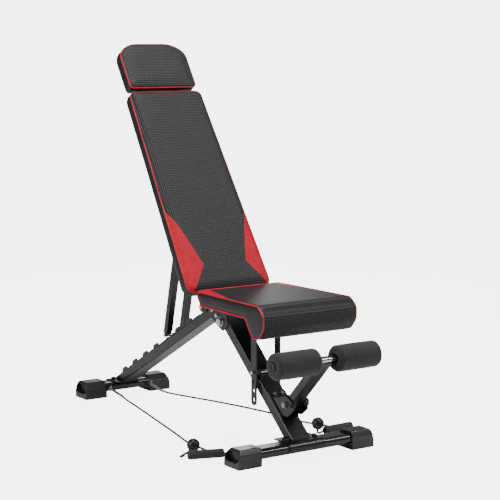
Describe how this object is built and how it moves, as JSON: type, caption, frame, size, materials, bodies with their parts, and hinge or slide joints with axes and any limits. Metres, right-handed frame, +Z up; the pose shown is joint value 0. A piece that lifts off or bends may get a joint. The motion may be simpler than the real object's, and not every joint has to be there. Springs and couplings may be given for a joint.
{
  "type": "adjustable weight bench",
  "caption": "Adjustable weight bench: tilting seat, ladder-stop backrest with headrest, leg rollers on a swing arm and elastic pull ropes with grips.",
  "frame": {"origin": "on the floor, at the middle of the bench's outline without its ropes", "axes": "+Z up, +Y from the roller end toward the ladder end, X across; -X is the left as seen from the roller end"},
  "size_m": [0.5871, 1.128, 1.0994],
  "materials": {
    "frame_paint": "satin black powder coat",
    "gloss_paint": "glossy black paint",
    "chrome": "polished",
    "zinc": "zinc plated",
    "foot_plastic": "moulded black",
    "plug_plastic": "black",
    "pad_leather": "black leatherette with red piping",
    "board": "black stained plywood",
    "foam": "closed-cell foam",
    "rope_rubber": "elastic rope",
    "grip_foam": "foam grip"
  },
  "bodies": {
    "frame": {"front_leg": "frame_paint", "rear_leg": "frame_paint", "ladder_plates": "frame_paint", "front_base_tube": "gloss_paint", "rear_base_tube": "gloss_paint", "front_foot_left": "foot_plastic", "front_foot_right": "foot_plastic", "rear_foot_left": "foot_plastic", "rear_foot_right": "foot_plastic", "base_end_plugs": "plug_plastic", "front_saddle": "frame_paint", "rear_saddle": "frame_paint", "base_bolts": "frame_paint", "apex_ears": "frame_paint", "apex_spacers": "frame_paint", "apex_bolts": "chrome", "seat_pin_hook": "frame_paint", "roller_bracket": "frame_paint", "roller_bracket_bolts": "zinc", "arm_pivot_bolt": "zinc", "eye_bolts": "zinc", "carabiner_left": "zinc", "carabiner_right": "zinc", "rope_left": "rope_rubber", "rope_right": "rope_rubber", "stop_ball_left": "plug_plastic", "stop_ball_right": "plug_plastic", "grip_left": "grip_foam", "grip_right": "grip_foam", "grip_cord_left_a": "rope_rubber", "grip_cord_left_b": "rope_rubber", "grip_cord_right_a": "rope_rubber", "grip_cord_right_b": "rope_rubber"},
    "seat": {"seat_pad": "pad_leather", "seat_board": "board", "seat_rails": "frame_paint", "seat_hinge_pin": "chrome", "seat_screws": "zinc", "seat_strut_pivot": "zinc"},
    "seat_support": {"seat_struts": "frame_paint"},
    "seat_pull_pin": {"seat_pin": "chrome", "seat_pin_handle": "plug_plastic"},
    "backrest": {"back_pad": "pad_leather", "back_board": "board", "back_rails": "frame_paint", "back_hinge_pin": "chrome", "strut_lugs": "frame_paint", "strut_pivot_bolt": "zinc", "head_pad": "pad_leather", "head_board": "board", "headrest_bars": "frame_paint", "back_screws": "zinc"},
    "back_strut": {"support_legs": "frame_paint", "ladder_rod": "chrome"},
    "roller_arm_body": {"roller_arm": "frame_paint", "roller_axle": "chrome", "axle_end_caps": "plug_plastic"},
    "roller_left": {"roller_foam_left": "foam"},
    "roller_right": {"roller_foam_right": "foam"},
    "arm_lock_knob": {"arm_knob": "plug_plastic"}
  },
  "joints": [
    {"name": "backrest_tilt", "type": "hinge", "parent": "frame", "child": "backrest", "pos_m": [0, -0.046, 0.3485], "axis": [-1, 0, 0], "range_deg": [0, 41.4]},
    {"name": "strut_swing", "type": "hinge", "parent": "backrest", "child": "back_strut", "pos_m": [0, 0.1195, 0.632], "axis": [1, 0, 0], "range_deg": [0, 60]},
    {"name": "seat_tilt", "type": "hinge", "parent": "frame", "child": "seat", "pos_m": [0, 0.011, 0.348], "axis": [-1, 0, 0], "range_deg": [0, 16]},
    {"name": "seat_strut_swing", "type": "hinge", "parent": "seat", "child": "seat_support", "pos_m": [0, -0.2585, 0.36], "axis": [1, 0, 0], "range_deg": [0, 16]},
    {"name": "seat_pin_pull", "type": "slide", "parent": "seat_support", "child": "seat_pull_pin", "axis": [1, 0, 0], "range_m": [0, 0.09]},
    {"name": "roller_arm_swing", "type": "hinge", "parent": "frame", "child": "roller_arm_body", "pos_m": [0, -0.384, 0.136], "axis": [1, 0, 0], "range_deg": [-15, 60]},
    {"name": "arm_knob_turn", "type": "hinge", "parent": "frame", "child": "arm_lock_knob", "pos_m": [0.0455, -0.384, 0.136], "axis": [1, 0, 0], "continuous": true},
    {"name": "roller_left_spin", "type": "hinge", "parent": "roller_arm_body", "child": "roller_left", "pos_m": [-0.1, -0.528, 0.2796], "axis": [1, 0, 0], "continuous": true},
    {"name": "roller_right_spin", "type": "hinge", "parent": "roller_arm_body", "child": "roller_right", "pos_m": [0.1, -0.528, 0.2796], "axis": [1, 0, 0], "continuous": true}
  ],
  "couplings": [
    {"joint": "strut_swing", "follows": "backrest_tilt", "ratio": 1.44},
    {"joint": "seat_strut_swing", "follows": "seat_tilt", "ratio": 1}
  ]
}
